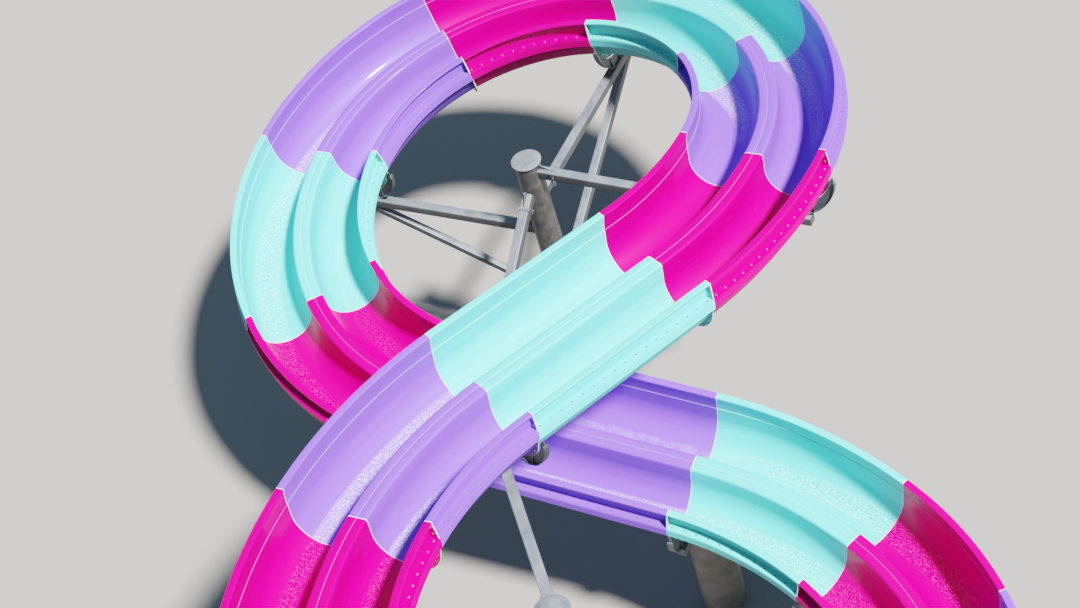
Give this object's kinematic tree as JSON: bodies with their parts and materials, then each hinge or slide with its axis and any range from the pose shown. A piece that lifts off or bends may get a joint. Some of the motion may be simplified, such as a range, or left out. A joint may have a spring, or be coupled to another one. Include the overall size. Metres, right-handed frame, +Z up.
{
  "type": "open two-lane water slide run",
  "caption": "Open two-lane fibreglass water slide run that turns a descending loop under its own bridge, on galvanised columns with arms, braces and cradles.",
  "frame": {"origin": "centre of the central column's base plate, on the floor", "axes": "+Z up, +X along the flow on the straight bridge section, +Y to the left of that flow"},
  "size_m": [15.0725, 17.1409, 7.6975],
  "materials": {
    "gelcoat_magenta": "wet gloss gelcoat on fibreglass",
    "gelcoat_purple": "wet gloss gelcoat on fibreglass",
    "gelcoat_aqua": "wet gloss gelcoat on fibreglass",
    "galvanised_steel": "hot-dip galvanised, dull and lightly mottled",
    "concrete": "cast concrete, matt"
  },
  "bodies": {
    "root": {"arm_00": "galvanised_steel", "arm_02": "galvanised_steel", "arm_04": "galvanised_steel", "arm_06": "galvanised_steel", "arm_08": "galvanised_steel", "arm_10": "galvanised_steel", "arm_stub_00": "galvanised_steel", "arm_stub_02": "galvanised_steel", "arm_stub_04": "galvanised_steel", "arm_stub_06": "galvanised_steel", "arm_stub_08": "galvanised_steel", "arm_stub_10": "galvanised_steel", "brace_06": "galvanised_steel", "brace_08": "galvanised_steel", "central_column": "galvanised_steel", "central_column_cap": "galvanised_steel", "exit_column_12": "galvanised_steel", "exit_column_14": "galvanised_steel", "flume_01_magenta_left": "gelcoat_magenta", "flume_01_magenta_right": "gelcoat_magenta", "flume_02_purple_left": "gelcoat_purple", "flume_02_purple_right": "gelcoat_purple", "flume_03_aqua_left": "gelcoat_aqua", "flume_03_aqua_right": "gelcoat_aqua", "flume_04_magenta_left": "gelcoat_magenta", "flume_04_magenta_right": "gelcoat_magenta", "flume_05_purple_left": "gelcoat_purple", "flume_05_purple_right": "gelcoat_purple", "flume_06_aqua_left": "gelcoat_aqua", "flume_06_aqua_right": "gelcoat_aqua", "flume_07_magenta_left": "gelcoat_magenta", "flume_07_magenta_right": "gelcoat_magenta", "flume_08_purple_left": "gelcoat_purple", "flume_08_purple_right": "gelcoat_purple", "flume_09_aqua_left": "gelcoat_aqua", "flume_09_aqua_right": "gelcoat_aqua", "flume_10_magenta_left": "gelcoat_magenta", "flume_10_magenta_right": "gelcoat_magenta", "flume_11_purple_left": "gelcoat_purple", "flume_11_purple_right": "gelcoat_purple", "flume_12_aqua_left": "gelcoat_aqua", "flume_12_aqua_right": "gelcoat_aqua", "flume_13_magenta_left": "gelcoat_magenta", "flume_13_magenta_right": "gelcoat_magenta", "flume_14_purple_left": "gelcoat_purple", "flume_14_purple_right": "gelcoat_purple", "pier_11": "concrete", "pier_head_11": "galvanised_steel", "saddle_00": "galvanised_steel", "saddle_02": "galvanised_steel", "saddle_04": "galvanised_steel", "saddle_06": "galvanised_steel", "saddle_08": "galvanised_steel", "saddle_10": "galvanised_steel", "saddle_11": "galvanised_steel", "saddle_12": "galvanised_steel", "saddle_14": "galvanised_steel", "side_column": "galvanised_steel", "side_column_cap": "galvanised_steel"}
  },
  "joints": []
}
